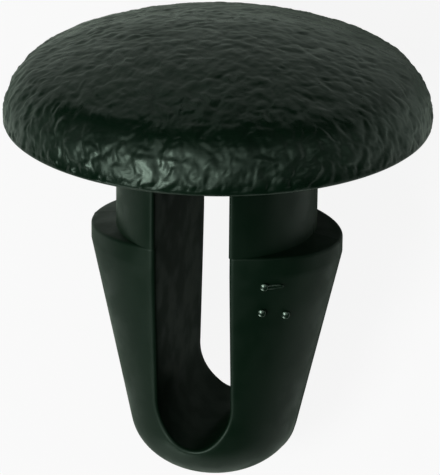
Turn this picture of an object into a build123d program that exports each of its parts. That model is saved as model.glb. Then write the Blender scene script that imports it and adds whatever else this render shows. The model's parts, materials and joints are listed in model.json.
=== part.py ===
from build123d import *
import os
from math import acos, asin, atan2, cos, degrees, hypot, pi, radians, sin, sqrt, tan

# Plastic push rivet: one injection moulding that is pushed by hand through a
# hole in a panel. A domed head covers the hole, a round neck fills it, and
# two barbed legs close up in passing and spring out behind the panel.
# Sizes are in millimetres. The rivet is drawn upright, with the seat under
# its head at height zero and its legs below, and is laid down at the end.

# The hole and the panels that it holds
panel_hole = 8.2          # diameter of the hole
panel_stack = 4.2         # thickest stack of panels under the head
neck_play = 0.1           # room all round between the neck and the hole
stack_play = 0.1          # room between the stack and the barbs

# Head: a flat seat, a tight lower corner, a full round shoulder, a low dome
head_diameter = 17.0
head_height = 4.0
shoulder_radius = 2.4
seat_corner = 0.3

# Barbs: oval, wide across the legs and narrower than the hole the other way
barb_catch = 1.0          # how far each barb reaches behind the hole's edge
barb_relief = 0.35        # how far the legs' other two sides stay inside it
barb_land = 0.85          # height of the straight band round the barbs
ledge_slope = 9.0         # degrees that the ledge falls away from the neck

# Legs: they taper to one blunt nose, a low round dome that joins them
stem_length = 14.9        # seat to the tip of the dome
nose_inset = 0.6          # how far the dome's rim stays inside the neck all round
nose_height = 2.5         # height of the dome
gate_flat = 0.9           # width of the flat left on the tip by the gate

# Slot: right through, open to the head, with a long foot of three arcs
slot_width = 3.0
nose_thickness = 2.0      # from the lowest point of the slot to the tip of the dome
slot_foot = 2.0           # height of the foot
slot_foot_radius = 1.05   # radius of the foot's lowest arc
slot_edge_round = 0.25    # round on the outer edges along the slot

# Drawing
taper_steps = 7           # steps between the sections that the taper is drawn through
nose_steps = 6            # the same round the dome
touching = 0.001          # how near an edge has to be to count as touching
halvings = 40             # how often the range of the resting lean is halved

head_radius = head_diameter / 2
neck_radius = panel_hole / 2 - neck_play
neck_length = panel_stack + stack_play
nose_radius = neck_radius - nose_inset
ledge_z = -neck_length
land_foot_z = ledge_z - barb_land
dome_z = nose_height - stem_length
slot_depth = stem_length - nose_thickness
barb_half_wide = panel_hole / 2 + barb_catch
barb_half_side = panel_hole / 2 - barb_relief


def flank(start_half):
    """Half width of the legs in one view, at any height: a straight flank
    from the foot of the land that runs into the nose's dome. Returned with
    it is the height where the dome takes over. Heights are stretched to make
    the dome round while the place where they touch is worked out."""
    rise = (land_foot_z - dome_z) * nose_radius / nose_height
    reach = hypot(start_half, rise)
    turn = atan2(rise, start_half) - acos(nose_radius / reach)
    touch_half = nose_radius * cos(turn)
    touch_z = dome_z + nose_height * sin(turn)

    def half_width(z):
        if z < touch_z:
            return nose_radius * sqrt(1 - ((z - dome_z) / nose_height) ** 2)
        share = (land_foot_z - z) / (land_foot_z - touch_z)
        return start_half + share * (touch_half - start_half)

    return half_width, touch_z


def oval(z, half_wide, half_side):
    """A level oval section, its wide way along X."""
    return Pos(0, 0, z) * Ellipse(half_wide, half_side).face()


def on_arc(centre, radius, turn):
    """The point of an arc at a turn, in radians from the outward direction."""
    return (centre[0] + radius * cos(turn), centre[1] + radius * sin(turn))


def make_head():
    """The head, turned about the axis: seat, corner, shoulder and dome, each
    running smoothly into the next."""
    corner = (head_radius - seat_corner, seat_corner)
    shoulder = (head_radius - shoulder_radius, seat_corner)
    climb = head_height - seat_corner
    dome_radius = (shoulder[0] ** 2 + climb ** 2 - shoulder_radius ** 2) / (2 * (climb - shoulder_radius))
    dome = (0, head_height - dome_radius)
    meet = atan2(shoulder[1] - dome[1], shoulder[0])

    seat_end = on_arc(corner, seat_corner, -pi / 2)
    widest = on_arc(corner, seat_corner, 0)
    shoulder_end = on_arc(dome, dome_radius, meet)
    crown = (0, head_height)
    outline = Line((0, 0), seat_end)
    outline += ThreePointArc(seat_end, on_arc(corner, seat_corner, -pi / 4), widest)
    outline += ThreePointArc(widest, on_arc(shoulder, shoulder_radius, meet / 2), shoulder_end)
    outline += ThreePointArc(shoulder_end, on_arc(dome, dome_radius, (meet + pi / 2) / 2), crown)
    outline += Line(crown, (0, 0))
    return revolve(Plane.XZ * make_face(outline), Axis.Z)


def make_slot():
    """The slot as a bar along Y. Two long arcs run in from its walls to the
    tighter arc at its lowest point."""
    half = slot_width / 2
    foot_z = slot_foot - slot_depth
    climb = slot_foot - slot_foot_radius
    side_radius = (half ** 2 + climb ** 2 - slot_foot_radius ** 2) / (2 * (half - slot_foot_radius))
    side_centre = (half - side_radius, foot_z)
    turn = atan2(climb, side_radius - half)
    meet = on_arc(side_centre, side_radius, -turn)
    side_arc = ThreePointArc((half, foot_z), on_arc(side_centre, side_radius, -turn / 2), meet)
    outline = Polyline((-half, foot_z), (-half, 0), (half, 0), (half, foot_z))
    outline += side_arc
    outline += ThreePointArc(meet, (0, -slot_depth), (-meet[0], meet[1]))
    outline += mirror(side_arc, Plane.YZ)
    return extrude(Plane.XZ * make_face(outline), barb_half_wide, both=True)


def round_slot_edges(body):
    """Rounds the outer edges that the slot leaves on a slotted body: those
    that touch the slot and don't run along its length."""
    slot = make_slot()
    edges = body.edges().filter_by(Axis.Y, reverse=True)
    slot_edges = [edge for edge in edges if slot.distance_to(edge @ 0.5) < touching]
    return fillet(slot_edges, slot_edge_round)


def make_neck():
    """The round neck that fills the hole, parted by the slot."""
    neck = Pos(0, 0, ledge_z / 2) * Cylinder(neck_radius, neck_length)
    return round_slot_edges(neck - make_slot())


def make_legs():
    """The barbed legs: the band under the ledge, and one body below it drawn
    through oval sections, evenly spaced down the taper and round the dome."""
    wide, wide_touch = flank(barb_half_wide)
    side, side_touch = flank(barb_half_side)
    round_z = max(wide_touch, side_touch)
    taper_step = (land_foot_z - round_z) / taper_steps
    taper_heights = [land_foot_z - step * taper_step for step in range(taper_steps)]
    first_turn = asin((dome_z - round_z) / nose_height)
    last_turn = acos(gate_flat / 2 / nose_radius)
    turn_step = (last_turn - first_turn) / nose_steps
    nose_turns = [first_turn + step * turn_step for step in range(nose_steps + 1)]
    nose_heights = [dome_z - nose_height * sin(turn) for turn in nose_turns]

    tapered = loft([oval(z, wide(z), side(z)) for z in taper_heights + nose_heights])
    land = extrude(oval(land_foot_z, barb_half_wide, barb_half_side), barb_land)
    legs = round_slot_edges(tapered + land - make_slot())
    return legs - make_ledge_cut()


def make_ledge_cut():
    """What is taken off the barbs so that their ledge falls outwards."""
    reach = barb_half_wide + barb_catch
    drop = (reach - neck_radius) * tan(radians(ledge_slope))
    foot, top = ledge_z - drop, ledge_z + drop
    outline = Polyline((neck_radius, ledge_z), (reach, foot), (reach, top), (neck_radius, top), close=True)
    return revolve(Plane.XZ * make_face(outline), Axis.Z)


def resting_lean():
    """How far the axis rises from the surface that the rivet lies on, when
    the corner of its head and its nose both touch. It is found by halving:
    with too little lean the head would reach lower than the nose."""
    level, upright = 0, pi / 2
    for halving in range(halvings):
        lean = (level + upright) / 2
        head_drop = (head_radius - seat_corner) * cos(lean) - seat_corner * sin(lean) + seat_corner
        nose_drop = hypot(nose_radius * cos(lean), nose_height * sin(lean)) - dome_z * sin(lean)
        if head_drop > nose_drop:
            level = lean
        else:
            upright = lean
    return level


def lay_down(rivet):
    """Lays the rivet as it comes to rest: on the corner of its head and the
    side of its nose, with the slot open upwards. The middle of its footprint
    comes to the origin, and the surface it lies on to height zero."""
    lying = Rot(X=degrees(resting_lean()) - 90) * rivet
    box = lying.bounding_box()
    return Pos(-box.center().X, -box.center().Y, -box.min.Z) * lying


os.makedirs("parts", exist_ok=True)
push_rivet = lay_down(make_head() + make_neck() + make_legs())
push_rivet.label = "push_rivet"
export_step(push_rivet, "parts/push_rivet.step")
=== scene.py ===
import json
from math import acos, asin, atan2, cos, hypot, pi, radians, sin, sqrt

import bmesh
import bpy
import numpy as np
from mathutils import Matrix, Vector
from mathutils.geometry import delaunay_2d_cdt


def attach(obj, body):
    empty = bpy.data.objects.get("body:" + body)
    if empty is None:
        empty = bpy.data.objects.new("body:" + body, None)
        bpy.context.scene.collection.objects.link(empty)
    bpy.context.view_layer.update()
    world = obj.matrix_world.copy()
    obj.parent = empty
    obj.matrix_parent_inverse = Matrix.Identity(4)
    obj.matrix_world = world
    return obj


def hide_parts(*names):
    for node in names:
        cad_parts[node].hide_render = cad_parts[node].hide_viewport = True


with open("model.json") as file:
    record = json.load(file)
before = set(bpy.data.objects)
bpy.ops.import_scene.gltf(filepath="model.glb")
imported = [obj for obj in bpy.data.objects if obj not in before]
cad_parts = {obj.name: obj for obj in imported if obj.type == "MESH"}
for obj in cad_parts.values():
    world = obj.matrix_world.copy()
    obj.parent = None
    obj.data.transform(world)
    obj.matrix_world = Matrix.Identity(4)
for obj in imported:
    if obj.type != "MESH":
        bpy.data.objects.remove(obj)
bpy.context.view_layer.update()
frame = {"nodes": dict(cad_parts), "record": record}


# How the rivet lies. It is one moulding, drawn here upright: the seat under
# its head at height zero, the head above and the legs below. It comes to rest
# lying down, on the corner of its head and the side of its nose.

mounts = {mount["name"]: mount for mount in frame["record"]["mounts"]}
seat_centre = Vector(mounts["head_seat"]["pos_m"])
to_head = -Vector(mounts["head_seat"]["axis"])
to_right = Vector((1, 0, 0))
to_back = to_head.cross(to_right)
lay_down = Matrix((to_right, to_back, to_head)).transposed().to_4x4()
lay_down.translation = seat_centre

stand_up = lay_down.inverted()
solid = [stand_up @ vertex.co for vertex in frame["nodes"]["push_rivet"].data.vertices]


# Head. The round cover that stays in sight on the panel, moulded in the same
# black nylon as the legs. Its half of the mould was etched, so a leather grain
# runs over the dome and the rim and dies out below the widest line.

head_radius = max(point.x for point in solid)
head_height = max(point.z for point in solid)
shoulder_radius = 0.0024
seat_corner = 0.0003
head_squares = 266  # squares of the net along each side
pebble_size = 0.0008
grain_depth = 0.000054
rim_gain = 1.8  # how much deeper the grain is round the shoulder
full_gain_turn = radians(60)  # the dome's outward turn where it is that deep
grain_end = radians(95), radians(130)  # the turns over which the grain dies out

# What each part of the leather adds to its depth
lump_depth = 0.5
pillow_depth = 0.34
groove_depth = 0.42
wrinkle_depth = 0.27
faintest = 0.35  # share that is left where creases and wrinkles fade

# The nylon's two tones, and the weak green film that tints what it mirrors
dark_nylon = (0.0025, 0.0105, 0.005, 1)
pale_nylon = (0.0035, 0.0125, 0.006, 1)
green_film = {
    "Specular Tint": (0.8, 1.0, 0.87, 1),
    "Coat Weight": 0.16,
    "Coat Roughness": 0.5,
    "Coat IOR": 1.0,
    "Coat Tint": (0.6, 1.0, 0.7, 1),
}

# The band that handling has rubbed round the rim. It is rougher than the rest,
# so that its shine is wide and soft, and it mirrors more. Its roughness eases
# in and out, and its polish goes up in small steps, one plastic to each step.
rubbed_heights = 0.0002, 0.0023
rub_eases = 0.0006, 0.0008  # the heights over which it comes in and dies out
rub_blur = 1.4  # times the roughness of the rest
plain_polish = 0.25
rub_polish = 0.45  # what the rub adds to the polish
rub_steps = 8

dome_reach = head_radius - shoulder_radius
dome_climb = head_height - seat_corner
dome_square = dome_reach**2 + dome_climb**2 - shoulder_radius**2
dome_radius = dome_square / (2 * (dome_climb - shoulder_radius))
dome_turn = asin(dome_reach / (dome_radius - shoulder_radius))


def feed(tree, socket, value):
    """Joins a socket to what feeds it, or sets it to a plain value."""
    if isinstance(value, bpy.types.NodeSocket):
        tree.links.new(value, socket)
    else:
        socket.default_value = value


def sums(tree, operation, *values):
    """A maths node on plain numbers."""
    node = tree.nodes.new("ShaderNodeMath")
    node.operation = operation
    for socket, value in zip(node.inputs, values):
        feed(tree, socket, value)
    return node.outputs["Value"]


def vectors(tree, operation, *values):
    """A maths node on vectors."""
    node = tree.nodes.new("ShaderNodeVectorMath")
    node.operation = operation
    for socket, value in zip(node.inputs, values):
        feed(tree, socket, value)
    return node.outputs["Vector"]


def either(tree, test, if_so, if_not):
    """One number or the other, as the test says."""
    node = tree.nodes.new("GeometryNodeSwitch")
    node.input_type = "FLOAT"
    feed(tree, node.inputs["Switch"], test)
    feed(tree, node.inputs["True"], if_so)
    feed(tree, node.inputs["False"], if_not)
    return node.outputs["Output"]


def eased(tree, value, start, end, at_start, at_end):
    """A value carried smoothly from one range to another, and held past its ends."""
    node = tree.nodes.new("ShaderNodeMapRange")
    node.interpolation_type = "SMOOTHSTEP"
    feed(tree, node.inputs["Value"], value)
    feed(tree, node.inputs["From Min"], start)
    feed(tree, node.inputs["From Max"], end)
    feed(tree, node.inputs["To Min"], at_start)
    feed(tree, node.inputs["To Max"], at_end)
    return node.outputs["Result"]


def clouds(tree, place, lumps, detail, output="Fac"):
    """Soft noise with so many lumps to a unit of length."""
    node = tree.nodes.new("ShaderNodeTexNoise")
    feed(tree, node.inputs["Vector"], place)
    feed(tree, node.inputs["Scale"], lumps)
    feed(tree, node.inputs["Detail"], detail)
    return node.outputs[output]


def creases(tree, place, cells, width):
    """One along the lines between cells, easing to nothing at a width away."""
    node = tree.nodes.new("ShaderNodeTexVoronoi")
    node.feature = "DISTANCE_TO_EDGE"
    feed(tree, node.inputs["Vector"], place)
    feed(tree, node.inputs["Scale"], cells)
    return eased(tree, node.outputs["Distance"], 0.0, width, 1.0, 0.0)


def leather(tree, place, pebble):
    """Depth of the leather grain at a place, from nothing to about one: soft
    lumps, pillowed pebbles, broken creases between them and finer wrinkles in
    patches. Lengths here are counted in pebbles, and the pebbles drift, so
    that no two are alike."""
    pebbles = vectors(tree, "DIVIDE", place, pebble)
    drift = vectors(tree, "SUBTRACT", clouds(tree, pebbles, 0.8, 2.0, "Color"), (0.5, 0.5, 0.5))
    bent = vectors(tree, "ADD", pebbles, vectors(tree, "MULTIPLY", drift, (1.6, 1.6, 1.6)))
    pillow = creases(tree, bent, 1.0, 0.6)
    groove = creases(tree, bent, 1.0, 0.24)
    wrinkle = creases(tree, bent, 2.2, 0.34)
    lumps = eased(tree, clouds(tree, pebbles, 1.1, 1.0), 0.42, 0.68, 0.0, lump_depth)
    broken = eased(tree, clouds(tree, pebbles, 0.9, 1.0), 0.4, 0.6, faintest, 1.0)
    patch = eased(tree, clouds(tree, pebbles, 0.6, 1.0), 0.42, 0.6, faintest, 1.0)
    depth = sums(tree, "MULTIPLY_ADD", pillow, pillow_depth, lumps)
    creased = sums(tree, "MULTIPLY", groove, sums(tree, "MULTIPLY", broken, groove_depth))
    fine = sums(tree, "MULTIPLY", wrinkle, sums(tree, "MULTIPLY", patch, wrinkle_depth))
    return sums(tree, "ADD", sums(tree, "ADD", depth, creased), fine)


def new_tree(name, **inputs):
    """An empty geometry tree with its named inputs, and its two ends."""
    tree = bpy.data.node_groups.new(name, "GeometryNodeTree")
    for label, kind in inputs.items():
        label = label.replace("_", " ")
        tree.interface.new_socket(label, in_out="INPUT", socket_type="NodeSocket" + kind)
    tree.interface.new_socket("Geometry", in_out="OUTPUT", socket_type="NodeSocketGeometry")
    return tree, tree.nodes.new("NodeGroupInput").outputs, tree.nodes.new("NodeGroupOutput").inputs


def end_tree(tree, geometry, material, ends):
    """Ends a tree with its plain mesh in its material."""
    realize = tree.nodes.new("GeometryNodeRealizeInstances")
    feed(tree, realize.inputs["Geometry"], geometry)
    paint = tree.nodes.new("GeometryNodeSetMaterial")
    feed(tree, paint.inputs["Geometry"], realize.outputs["Geometry"])
    feed(tree, paint.inputs["Material"], material)
    feed(tree, ends["Geometry"], paint.outputs["Geometry"])


def grow(tree, mesh, **sizes):
    """Runs a geometry tree on a mesh and hands back the plain mesh it makes."""
    holder = bpy.data.objects.new(tree.name, mesh)
    bpy.context.scene.collection.objects.link(holder)
    modifier = holder.modifiers.new(tree.name, "NODES")
    modifier.node_group = tree
    for item in tree.interface.items_tree:
        if item.in_out == "INPUT" and item.socket_type != "NodeSocketGeometry":
            modifier[item.identifier] = sizes[item.name.replace(" ", "_")]
    holder.update_tag()
    graph = bpy.context.evaluated_depsgraph_get()
    made = bpy.data.meshes.new_from_object(holder.evaluated_get(graph))
    holder.modifiers.remove(modifier)
    bpy.data.objects.remove(holder)
    return made


def grained_head():
    """A square net drawn into a round one, bent over the head's profile and
    sunk by the grain. Each arc of the profile adds its own reach and fall."""
    tree, given, ends = new_tree(
        "grained_head",
        Squares="Int",
        Head_height="Float",
        Dome_radius="Float",
        Dome_turn="Float",
        Shoulder_radius="Float",
        Seat_corner="Float",
        Pebble_size="Float",
        Grain_depth="Float",
        Rim_gain="Float",
        Plastic="Material",
    )
    net = tree.nodes.new("GeometryNodeMeshGrid")
    feed(tree, net.inputs["Size X"], 2.0)
    feed(tree, net.inputs["Size Y"], 2.0)
    lines = sums(tree, "ADD", given["Squares"], 1.0)
    feed(tree, net.inputs["Vertices X"], lines)
    feed(tree, net.inputs["Vertices Y"], lines)

    spot = tree.nodes.new("ShaderNodeSeparateXYZ")
    here = tree.nodes.new("GeometryNodeInputPosition")
    feed(tree, spot.inputs["Vector"], here.outputs["Position"])
    across, along = spot.outputs["X"], spot.outputs["Y"]
    reaches = [sums(tree, "ABSOLUTE", part) for part in (across, along)]
    sideways = sums(tree, "GREATER_THAN", *reaches)
    major = either(tree, sideways, across, along)
    minor = either(tree, sideways, along, across)
    turn = sums(tree, "MULTIPLY", sums(tree, "DIVIDE", minor, major), pi / 4)
    ring = sums(tree, "ABSOLUTE", major)
    side = sums(tree, "SIGN", major)
    long_part = sums(tree, "MULTIPLY", sums(tree, "COSINE", turn), side)
    short_part = sums(tree, "MULTIPLY", sums(tree, "SINE", turn), side)
    out_x = either(tree, sideways, long_part, short_part)
    out_y = either(tree, sideways, short_part, long_part)

    quarter = pi / 2
    shoulder_turn = sums(tree, "SUBTRACT", quarter, given["Dome turn"])
    arcs = [
        (given["Dome radius"], 0.0, given["Dome turn"]),
        (given["Shoulder radius"], given["Dome turn"], shoulder_turn),
        (given["Seat corner"], quarter, quarter),
    ]
    lengths = [sums(tree, "MULTIPLY", radius, most) for radius, first, most in arcs]
    whole = sums(tree, "ADD", sums(tree, "ADD", lengths[0], lengths[1]), lengths[2])
    left = sums(tree, "MULTIPLY", ring, whole)
    lean, reach, height = 0.0, 0.0, given["Head height"]
    for (radius, first, most), length in zip(arcs, lengths):
        used = sums(tree, "MINIMUM", left, length)
        left = sums(tree, "SUBTRACT", left, used)
        turned = sums(tree, "DIVIDE", used, radius)
        last = sums(tree, "ADD", first, turned)
        swing = sums(tree, "SUBTRACT", sums(tree, "SINE", last), sums(tree, "SINE", first))
        drop = sums(tree, "SUBTRACT", sums(tree, "COSINE", last), sums(tree, "COSINE", first))
        reach = sums(tree, "MULTIPLY_ADD", swing, radius, reach)
        height = sums(tree, "MULTIPLY_ADD", drop, radius, height)
        lean = sums(tree, "ADD", lean, turned)

    def turned_out(outward, upward):
        """A vector with an outward part along the net's ray, and an upward part."""
        node = tree.nodes.new("ShaderNodeCombineXYZ")
        feed(tree, node.inputs["X"], sums(tree, "MULTIPLY", out_x, outward))
        feed(tree, node.inputs["Y"], sums(tree, "MULTIPLY", out_y, outward))
        feed(tree, node.inputs["Z"], upward)
        return node.outputs["Vector"]

    skin = turned_out(reach, height)
    outward = turned_out(sums(tree, "SINE", lean), sums(tree, "COSINE", lean))
    grain_left = eased(tree, lean, *grain_end, 1.0, 0.0)
    deeper = eased(tree, lean, given["Dome turn"], full_gain_turn, 1.0, given["Rim gain"])
    sunk = sums(tree, "MULTIPLY", leather(tree, skin, given["Pebble size"]), given["Grain depth"])
    sunk = sums(tree, "MULTIPLY", sunk, sums(tree, "MULTIPLY", grain_left, deeper))
    place = tree.nodes.new("GeometryNodeSetPosition")
    feed(tree, place.inputs["Geometry"], net.outputs["Mesh"])
    inward = vectors(tree, "MULTIPLY", outward, sunk)
    feed(tree, place.inputs["Position"], vectors(tree, "SUBTRACT", skin, inward))
    end_tree(tree, place.outputs["Geometry"], given["Plastic"], ends)
    return tree


def plastic_skin():
    """Small unevenness that every moulded face has: a tone, a dullness and a
    very fine relief, each from nothing to one."""
    group = bpy.data.node_groups.new("plastic_skin", "ShaderNodeTree")
    group.interface.new_socket("Place", in_out="INPUT", socket_type="NodeSocketVector")
    for label in ("Patch size", "Frost size"):
        group.interface.new_socket(label, in_out="INPUT", socket_type="NodeSocketFloat")
    for label in ("Tone", "Dullness", "Relief"):
        group.interface.new_socket(label, in_out="OUTPUT", socket_type="NodeSocketFloat")
    given = group.nodes.new("NodeGroupInput").outputs
    ends = group.nodes.new("NodeGroupOutput").inputs
    patches = vectors(group, "DIVIDE", given["Place"], given["Patch size"])
    frost = vectors(group, "DIVIDE", given["Place"], given["Frost size"])
    for label, lumps, detail in (("Tone", 1.0, 3.0), ("Dullness", 2.7, 4.0)):
        share = eased(group, clouds(group, patches, lumps, detail), 0.3, 0.7, 0.0, 1.0)
        feed(group, ends[label], share)
    feed(group, ends["Relief"], clouds(group, frost, 1.0, 2.0))
    return group


skin_group = plastic_skin()


def black_plastic(
    name, shine, dull, patch_size, frost_size, frost_depth, polish=plain_polish, rubbed=None
):
    """Near-black nylon with a green cast, in a finish between two roughnesses.
    Between two heights, where any are given, it is rubbed rougher."""
    material = bpy.data.materials.new(name)
    material.use_nodes = True
    tree = material.node_tree
    surface = tree.nodes["Principled BSDF"]
    where = tree.nodes.new("ShaderNodeTexCoord")
    stand = tree.nodes.new("ShaderNodeMapping")
    stand.vector_type = "TEXTURE"
    stand.inputs["Location"].default_value = lay_down.translation
    stand.inputs["Rotation"].default_value = lay_down.to_euler()
    feed(tree, stand.inputs["Vector"], where.outputs["Object"])
    skin = tree.nodes.new("ShaderNodeGroup")
    skin.node_tree = skin_group
    feed(tree, skin.inputs["Place"], stand.outputs["Vector"])
    feed(tree, skin.inputs["Patch size"], patch_size)
    feed(tree, skin.inputs["Frost size"], frost_size)
    tint = tree.nodes.new("ShaderNodeMix")
    tint.data_type = "RGBA"
    feed(tree, tint.inputs["Factor"], skin.outputs["Tone"])
    tint.inputs["A"].default_value = dark_nylon
    tint.inputs["B"].default_value = pale_nylon
    finish = eased(tree, skin.outputs["Dullness"], 0.0, 1.0, shine, dull)
    surface.inputs["Specular IOR Level"].default_value = polish
    if rubbed:
        lowest, highest = rubbed
        spot = tree.nodes.new("ShaderNodeSeparateXYZ")
        feed(tree, spot.inputs["Vector"], stand.outputs["Vector"])
        come_in, die_out = rub_eases
        rise = eased(tree, spot.outputs["Z"], lowest, lowest + come_in, 0.0, 1.0)
        fade = eased(tree, spot.outputs["Z"], highest - die_out, highest, 1.0, 0.0)
        worn = sums(tree, "MULTIPLY", rise, fade)
        finish = sums(tree, "MULTIPLY", finish, eased(tree, worn, 0.0, 1.0, 1.0, rub_blur))
    relief = tree.nodes.new("ShaderNodeBump")
    relief.inputs["Strength"].default_value = 1.0
    relief.inputs["Distance"].default_value = frost_depth
    feed(tree, relief.inputs["Height"], skin.outputs["Relief"])
    feed(tree, surface.inputs["Base Color"], tint.outputs["Result"])
    feed(tree, surface.inputs["Roughness"], finish)
    feed(tree, surface.inputs["Normal"], relief.outputs["Normal"])
    for label, value in green_film.items():
        surface.inputs[label].default_value = value
    return material


def rub_step(z):
    """The step of the rub's polish at a height, from nothing to the last."""
    lowest, highest = rubbed_heights
    come_in, die_out = rub_eases
    rise = np.clip((z - lowest) / come_in, 0, 1)
    fade = np.clip((highest - z) / die_out, 0, 1)
    worn = rise * rise * (3 - 2 * rise) * fade * fade * (3 - 2 * fade)
    return round(float(worn) * rub_steps)


grained_plastic, *rubbed_plastics = [
    black_plastic(
        f"grained_plastic_{step}" if step else "grained_plastic",
        shine=0.26,
        dull=0.36,
        patch_size=0.004,
        frost_size=0.00014,
        frost_depth=0.000006,
        polish=plain_polish + rub_polish * step / rub_steps,
        rubbed=rubbed_heights,
    )
    for step in range(rub_steps + 1)
]
head_mesh = grow(
    grained_head(),
    bpy.data.meshes.new("head"),
    Squares=head_squares,
    Head_height=head_height,
    Dome_radius=dome_radius,
    Dome_turn=dome_turn,
    Shoulder_radius=shoulder_radius,
    Seat_corner=seat_corner,
    Pebble_size=pebble_size,
    Grain_depth=grain_depth,
    Rim_gain=rim_gain,
    Plastic=grained_plastic,
)


# Neck, barbs and legs. A round neck fills the panel's hole, and two barbed
# legs close up in passing and spring out behind it. A slider on each side of
# the mould made them, with a core through the slot, so a fine parting line
# runs down the outside of each leg and the faces are satin.

neck_radius = mounts["panel_hole"]["dims"]["r_mm"] / 1000
neck_length = mounts["panel_hole"]["dims"]["length_mm"] / 1000
ledge_z = -neck_length
land_height = 0.00085
land_foot_z = ledge_z - land_height
ledge_slope = radians(9)
gate_z = min(point.z for point in solid)
nose_radius = 0.0034
nose_height = 0.0025
nose_drop = 0.0149  # from the seat to the dome's point, which the gate cuts off
dome_z = nose_height - nose_drop
below_ledge = 0.00001
barb_half_wide = max(point.x for point in solid if point.z < ledge_z - below_ledge)
barb_half_side = 0.00375
slot_half = 0.0015
slot_depth = 0.0129
slot_foot = 0.002
slot_foot_radius = 0.00105
slot_edge_round = 0.00025
rim_round = 0.00012
parting_height = 0.00002
parting_crest, parting_foot = 0.006, 0.016  # shares of a quarter turn
gate_clear = 0.0002

# Level sections along each stretch of a leg, and rays and steps in a section
neck_levels, ledge_levels, rim_levels, land_levels, taper_levels = 20, 13, 8, 7, 42
fan_levels = 92
flank_rays = 28
first_ray = 0.045  # share of a quarter turn
wall_steps = 15
edge_steps = 7
halvings = 34  # times that a ray's length is halved to find the skin


def flank(start_half, z):
    """Half width of the legs in one view at each height, below the land: a
    straight flank that runs into the nose's dome. Heights are stretched to
    make the dome round while the place where they touch is worked out."""
    rise = (land_foot_z - dome_z) * nose_radius / nose_height
    turn = atan2(rise, start_half) - acos(nose_radius / hypot(start_half, rise))
    touch_half = nose_radius * cos(turn)
    touch_z = dome_z + nose_height * sin(turn)
    share = np.clip((land_foot_z - z) / (land_foot_z - touch_z), 0, 1)
    straight = start_half + share * (touch_half - start_half)
    dome_part = nose_radius * np.sqrt(np.maximum(1 - ((z - dome_z) / nose_height) ** 2, 1e-9))
    return np.where(z < touch_z, dome_part, straight)


def slot_reach(turns):
    """How far the slot's foot reaches from the middle of its top, at turns
    measured from the right: two long arcs run in to a tighter one below."""
    climb = slot_foot - slot_foot_radius
    narrowing = slot_half - slot_foot_radius
    side_radius = (slot_half**2 + climb**2 - slot_foot_radius**2) / (2 * narrowing)
    offset = side_radius - slot_half
    along_side = offset * np.abs(np.cos(turns))
    side = np.sqrt(along_side**2 + side_radius**2 - offset**2) - along_side
    along_low = -climb * np.sin(turns)
    low = along_low + np.sqrt(along_low**2 + slot_foot_radius**2 - climb**2)
    meet = atan2(climb, offset)
    meet_x = side_radius * cos(meet) - offset
    meet_drop = side_radius * sin(meet)
    on_side = np.abs(np.cos(turns)) * meet_drop > -np.sin(turns) * meet_x
    return np.where(on_side, side, low)


def outside(x, y, z, on_barb):
    """How far a place is outside the legs: less than nothing is inside."""
    wide = flank(barb_half_wide, z)
    side = flank(barb_half_side, z)
    off_oval = (np.hypot(x / wide, y / side) - 1) * side
    reach = np.hypot(x, y)
    off_ledge = (reach - neck_radius) * sin(ledge_slope) + (z - ledge_z) * cos(ledge_slope)
    gap = np.abs(off_oval - off_ledge)
    softened = np.maximum(rim_round - gap, 0) ** 2 / (4 * rim_round)
    legs = np.maximum(np.maximum(off_oval, off_ledge) + softened, gate_z - z)
    return np.where(on_barb, legs, reach - neck_radius)


def leg_stations():
    """Heights of the level sections down one leg, close together where the
    form turns, and whether each is below the ledge."""
    hair = 1e-6
    ledge_drop = (barb_half_wide - neck_radius) * sin(ledge_slope) / cos(ledge_slope)
    rim_z = ledge_z - ledge_drop
    neck = np.linspace(0, ledge_z + hair, neck_levels)
    ledge = np.linspace(ledge_z - hair, rim_z, ledge_levels)
    rim = np.linspace(rim_z, rim_z - 2 * rim_round, rim_levels)[1:]
    land = np.linspace(rim_z - 2 * rim_round, land_foot_z, land_levels)[1:]
    taper = np.linspace(land_foot_z, slot_foot - slot_depth, taper_levels)[1:]
    below = np.concatenate([ledge, rim, land, taper])
    return np.concatenate([neck, below]), np.arange(len(neck) + len(below)) >= len(neck)


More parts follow.
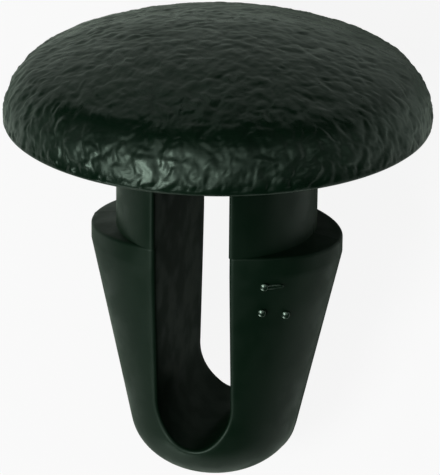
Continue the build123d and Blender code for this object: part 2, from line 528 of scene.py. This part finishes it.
def stem_sections():
    """Closed sections from the top of one leg, round the foot of the slot and
    up the other leg. Each starts with the slot's wall and goes on round the
    outside. The result holds a row of places for each section."""
    heights, below = leg_stations()
    foot_z = slot_foot - slot_depth
    fan = np.radians(np.linspace(180, 360, fan_levels))[1:-1]
    centre_z = np.concatenate([heights, np.full(len(fan), foot_z), heights[::-1]])
    under = np.concatenate([below, np.full(len(fan), True), below[::-1]])
    level = np.full(len(heights), pi)
    away_turn = np.concatenate([level, fan, 2 * level])
    away_x, away_z = np.cos(away_turn), np.sin(away_turn)
    wall = slot_reach(away_turn)

    def places(start, outward, sideways):
        away = start + outward
        return away * away_x[:, None], sideways, centre_z[:, None] + away * away_z[:, None]

    def skin(turns):
        """Where rays from the middle of the wall leave the legs."""
        near, far = np.zeros(turns.shape), np.full(turns.shape, 2 * barb_half_wide)
        for halving in range(halvings):
            middle = (near + far) / 2
            x, y, z = places(wall[:, None], middle * np.cos(turns), middle * np.sin(turns))
            out = outside(x, y, z, under[:, None]) > 0
            near, far = np.where(out, near, middle), np.where(out, middle, far)
        return near

    square = np.full((len(wall), 1), pi / 2)
    edge_half = skin(square)
    half = np.linspace(first_ray, 1, flank_rays)
    line = np.array([parting_crest, parting_foot])
    spread = np.concatenate([-half[::-1], -line[::-1], [0], line, half])
    turns = spread[None, :] * (pi / 2 - np.arctan(slot_edge_round / edge_half))
    lengths = skin(turns)
    lowest_z = centre_z + (wall + lengths[:, len(spread) // 2]) * away_z
    line_height = parting_height * np.clip((lowest_z - gate_z) / gate_clear, 0, 1)
    lengths = lengths + (np.abs(spread) <= parting_crest) * line_height[:, None]
    outer = np.stack(places(wall[:, None], lengths * np.cos(turns), lengths * np.sin(turns)), -1)

    wall_share = np.linspace(-1, 1, wall_steps)[None, :] * (edge_half - slot_edge_round)
    inner = np.stack(places(wall[:, None], 0 * wall_share, wall_share), -1)
    round_steps = np.linspace(0, 1, edge_steps)[1:-1]
    rounds = []
    for start, sign, end in ((inner[:, -1], 1, outer[:, -1]), (outer[:, 0], -1, inner[:, 0])):
        corner = np.stack(places(wall[:, None], 0 * edge_half, sign * edge_half), -1)[:, 0]
        steps = [(1 - s) ** 2 * start + 2 * s * (1 - s) * corner + s**2 * end for s in round_steps]
        rounds.append(np.stack(steps, 1))
    return np.concatenate([inner, rounds[0], outer[:, ::-1], rounds[1]], 1)


satin_plastic = black_plastic(
    "satin_plastic",
    shine=0.38,
    dull=0.5,
    patch_size=0.003,
    frost_size=0.00008,
    frost_depth=0.000002,
)

# In the moulding's mesh the plain grain is slot 0 and the satin is slot 1, and
# the steps of the rub come after them.
whole = bmesh.new()
whole.from_mesh(head_mesh)
for face in whole.faces:
    step = rub_step(face.calc_center_median().z)
    face.material_index = step + 1 if step else 0
head_edge = [vert for vert in whole.verts if vert.is_boundary]
sections = [[whole.verts.new(place) for place in row] for row in stem_sections()]
for upper, lower in zip(sections, sections[1:]):
    for step in range(len(upper)):
        ahead = (step + 1) % len(upper)
        face = whole.faces.new((upper[step], upper[ahead], lower[ahead], lower[step]))
        face.material_index = 1

# Underside of the head. It is a flat ring round the neck that seats on the
# panel, and the slot between the legs runs up to it.

sharp_turn = radians(35)


def fill_seat(edge, legs):
    """Flat faces between the head's edge and the tops of the two legs, worked
    out in millimetres."""
    as_one = 1e-7  # places closer than this count as one
    edge = sorted(edge, key=lambda vert: atan2(vert.co.y, vert.co.x))
    loops = [edge, *legs]
    verts = [vert for loop in loops for vert in loop]
    owner = [number for number, loop in enumerate(loops) for vert in loop]
    borders, first = [], 0
    for loop in loops:
        borders += [(first + step, first + (step + 1) % len(loop)) for step in range(len(loop))]
        first += len(loop)
    flat = [Vector((vert.co.x * 1000, vert.co.y * 1000)) for vert in verts]
    made = delaunay_2d_cdt(flat, borders, [], 0, as_one)
    for corners in made[2]:
        sources = [made[3][corner][0] for corner in corners]
        owners = {owner[source] for source in sources}
        if len(owners) > 1 or 0 in owners:
            face = whole.faces.new([verts[source] for source in sources])
            face.material_index = 1


fill_seat(head_edge, (sections[0], sections[-1]))
bmesh.ops.recalc_face_normals(whole, faces=whole.faces)
for face in whole.faces:
    face.smooth = True
for edge in whole.edges:
    both_plain = all(face.material_index == 1 for face in edge.link_faces)
    edge.smooth = not (both_plain and edge.calc_face_angle(0) > sharp_turn)

rivet_mesh = bpy.data.meshes.new("push_rivet_moulding")
whole.to_mesh(rivet_mesh)
whole.free()
for plastic in (grained_plastic, satin_plastic, *rubbed_plastics):
    rivet_mesh.materials.append(plastic)
rivet_mesh.transform(lay_down)
rivet = bpy.data.objects.new("push_rivet_moulding", rivet_mesh)
bpy.context.scene.collection.objects.link(rivet)
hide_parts("push_rivet")
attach(rivet, "root")


# Cavity marks. A mould makes many rivets at once, and a small raised bar and
# pips on the outside of one leg tell from which cavity each one came. They
# are cut bright into the slider, so they stand straight out along its draw.

bar_half_length = 0.00044
bar_half_width = 0.0001
pip_radius = 0.00016
mark_height = 0.00022
mark_crown = 0.18  # share of the height that the middle stands higher
mark_sides = 24
bar_spot = (0.00312, -0.00554)
pip_spots = [(0.00284, -0.00552), (0.00274, -0.00666), (0.00355, -0.00688)]


def on_leg(x, z):
    """The place on the front of the legs at a distance right of the middle
    and a height, and the turn that lays a bar along the leg there."""
    wide = float(flank(barb_half_wide, z))
    side = float(flank(barb_half_side, z))
    y = -side * sqrt(1 - (x / wide) ** 2)
    return Vector((x, y, z)), atan2(-x * side**2, y * wide**2)


def raised_marks():
    """A crowned stud on every point, stretched and turned as the point says."""
    tree, given, ends = new_tree(
        "raised_marks",
        Spots="Geometry",
        Sides="Int",
        Crown="Float",
        Plastic="Material",
    )
    stud = tree.nodes.new("GeometryNodeMeshCylinder")
    feed(tree, stud.inputs["Vertices"], given["Sides"])
    feed(tree, stud.inputs["Fill Segments"], 6)
    feed(tree, stud.inputs["Radius"], 1.0)
    feed(tree, stud.inputs["Depth"], 1.0)
    spot = tree.nodes.new("ShaderNodeSeparateXYZ")
    here = tree.nodes.new("GeometryNodeInputPosition")
    feed(tree, spot.inputs["Vector"], here.outputs["Position"])
    across = sums(tree, "MULTIPLY", spot.outputs["X"], spot.outputs["X"])
    out = sums(tree, "MULTIPLY_ADD", spot.outputs["Y"], spot.outputs["Y"], across)
    lift = tree.nodes.new("ShaderNodeCombineXYZ")
    inward = sums(tree, "SUBTRACT", 1.0, out)
    feed(tree, lift.inputs["Z"], sums(tree, "MULTIPLY", inward, given["Crown"]))
    crowned = tree.nodes.new("GeometryNodeSetPosition")
    feed(tree, crowned.inputs["Geometry"], stud.outputs["Mesh"])
    feed(tree, crowned.inputs["Offset"], lift.outputs["Vector"])
    told = {}
    for label, kind in (("stretch", "FLOAT_VECTOR"), ("turn", "FLOAT_VECTOR")):
        node = tree.nodes.new("GeometryNodeInputNamedAttribute")
        node.data_type = kind
        node.inputs["Name"].default_value = label
        told[label] = node.outputs["Attribute"]
    studs = tree.nodes.new("GeometryNodeInstanceOnPoints")
    feed(tree, studs.inputs["Points"], given["Spots"])
    feed(tree, studs.inputs["Instance"], crowned.outputs["Geometry"])
    feed(tree, studs.inputs["Scale"], told["stretch"])
    turned = tree.nodes.new("FunctionNodeEulerToRotation")
    feed(tree, turned.inputs["Euler"], told["turn"])
    feed(tree, studs.inputs["Rotation"], turned.outputs["Rotation"])
    end_tree(tree, studs.outputs["Instances"], given["Plastic"], ends)
    return tree


bright_plastic = black_plastic(
    "bright_plastic",
    shine=0.22,
    dull=0.28,
    patch_size=0.001,
    frost_size=0.00008,
    frost_depth=0.000001,
    polish=1.0,
)
bar_place, bar_turn = on_leg(*bar_spot)
mark_places = [bar_place] + [on_leg(*spot)[0] for spot in pip_spots]
mark_sizes = [(bar_half_length, bar_half_width, mark_height)]
mark_sizes += [(pip_radius, pip_radius, mark_height)] * len(pip_spots)
spots = bpy.data.meshes.new("mark_spots")
spots.from_pydata(mark_places, [], [])
stretches = spots.attributes.new("stretch", "FLOAT_VECTOR", "POINT")
turns = spots.attributes.new("turn", "FLOAT_VECTOR", "POINT")
for number, size in enumerate(mark_sizes):
    stretches.data[number].vector = size
    turns.data[number].vector = (pi / 2, 0, 0)
turns.data[0].vector = (pi / 2, 0, bar_turn)
marks_mesh = grow(
    raised_marks(),
    spots,
    Sides=mark_sides,
    Crown=mark_crown,
    Plastic=bright_plastic,
)
for face in marks_mesh.polygons:
    face.use_smooth = True
marks_mesh.transform(lay_down)
marks = bpy.data.objects.new("cavity_marks", marks_mesh)
bpy.context.scene.collection.objects.link(marks)
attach(marks, "root")


# Floor. A plain pale sheet that the rivet lies on, bright to the eye and
# still shaded where the rivet stands over it.

floor_half = 0.6
paper_grey = 0.75
white_to_eye = 0.9
white_in_gloss = 0.02

floor_mesh = bpy.data.meshes.new("floor")
signs = (-1, -1), (1, -1), (1, 1), (-1, 1)
corners = [(across * floor_half, along * floor_half, 0) for across, along in signs]
floor_mesh.from_pydata(corners, [], [(0, 1, 2, 3)])
floor = bpy.data.objects.new("floor", floor_mesh)
bpy.context.scene.collection.objects.link(floor)
sheet = bpy.data.materials.new("pale_sheet")
sheet.use_nodes = True
tree = sheet.node_tree
tree.nodes.clear()
paper = tree.nodes.new("ShaderNodeBsdfDiffuse")
paper.inputs["Color"].default_value = (paper_grey, paper_grey, paper_grey, 1)
glow = tree.nodes.new("ShaderNodeEmission")
glow.inputs["Strength"].default_value = 1.0
rays = tree.nodes.new("ShaderNodeLightPath")
through = sums(tree, "MAXIMUM", rays.outputs["Is Camera Ray"], rays.outputs["Is Transmission Ray"])
in_gloss = sums(tree, "MULTIPLY", rays.outputs["Is Glossy Ray"], white_in_gloss)
seen = sums(tree, "MULTIPLY_ADD", through, white_to_eye, in_gloss)
blend = tree.nodes.new("ShaderNodeMixShader")
feed(tree, blend.inputs["Fac"], seen)
tree.links.new(paper.outputs["BSDF"], blend.inputs[1])
tree.links.new(glow.outputs["Emission"], blend.inputs[2])
surface = tree.nodes.new("ShaderNodeOutputMaterial")
tree.links.new(blend.outputs["Shader"], surface.inputs["Surface"])
floor_mesh.materials.append(sheet)


# Studio light. Soft boxes over the floor, each placed by how far it leans from
# straight overhead and round which way: degrees from the head's end, rightwards.
# The room round them is dim, and white only to the eye.

lit_place = lay_down @ Vector((0, 0, -0.005))
box_distance = 0.4
room_light = 0.02


def soft_box(name, lean, round_to, size, power):
    """A round lamp turned to the rivet."""
    tilt, turn = radians(lean), radians(round_to)
    toward = Vector((sin(tilt) * sin(turn), sin(tilt) * cos(turn), cos(tilt)))
    lamp = bpy.data.lights.new(name, "AREA")
    lamp.shape = "DISK"
    lamp.size = size
    lamp.energy = power
    box = bpy.data.objects.new(name, lamp)
    box.location = lit_place + toward * box_distance
    box.rotation_euler = toward.to_track_quat("Z", "Y").to_euler()
    bpy.context.scene.collection.objects.link(box)


soft_box("overhead_box", lean=0, round_to=0, size=0.46, power=0.4)
soft_box("key_box", lean=31, round_to=230, size=0.17, power=0.8)
soft_box("low_box", lean=84, round_to=208, size=0.16, power=0.34)
soft_box("right_box", lean=52, round_to=66, size=0.14, power=0.03)
soft_box("head_box", lean=84, round_to=342, size=0.14, power=0.04)

world = bpy.data.worlds.new("studio")
bpy.context.scene.world = world
world.use_nodes = True
tree = world.node_tree
backdrop = tree.nodes["Background"]
rays = tree.nodes.new("ShaderNodeLightPath")
seen = eased(tree, rays.outputs["Is Camera Ray"], 0.0, 1.0, room_light, 1.0)
feed(tree, backdrop.inputs["Strength"], seen)
backdrop.inputs["Color"].default_value = (1, 1, 1, 1)


# Camera. It looks at the standing rivet from the front, a little to the right
# and from above, close enough that the head's near edge looks larger.

picture_width = 440
middle = Vector((0, 0, -0.006))
eye_right = radians(15.909)
eye_above = radians(22.371)
eye_distance = 0.146307
focal_pixels = 3658.0
aim_right = 0.00014
aim_up = 0.000943
camera_roll = radians(0.575)

level_reach = cos(eye_above)
eye_line = Vector((level_reach * sin(eye_right), -level_reach * cos(eye_right), sin(eye_above)))
right = Vector((cos(eye_right), sin(eye_right), 0))
up = eye_line.cross(right)
eye = middle + eye_line * eye_distance
aim = middle + right * aim_right + up * aim_up
ahead = (aim - eye).normalized()
level_right = ahead.cross(Vector((0, 0, 1))).normalized()
level_up = level_right.cross(ahead)
picture_right = cos(camera_roll) * level_right + sin(camera_roll) * level_up
picture_up = cos(camera_roll) * level_up - sin(camera_roll) * level_right
stance = Matrix((picture_right, picture_up, -ahead)).transposed().to_4x4()
stance.translation = eye

lens = bpy.data.cameras.new("camera")
lens.sensor_fit = "HORIZONTAL"
lens.sensor_width = 36
lens.lens = focal_pixels * lens.sensor_width / picture_width
lens.clip_start = 0.01
camera = bpy.data.objects.new("camera", lens)
camera.matrix_world = lay_down @ stance
bpy.context.scene.collection.objects.link(camera)
bpy.context.scene.camera = camera
bpy.context.scene.view_settings.view_transform = "Standard"
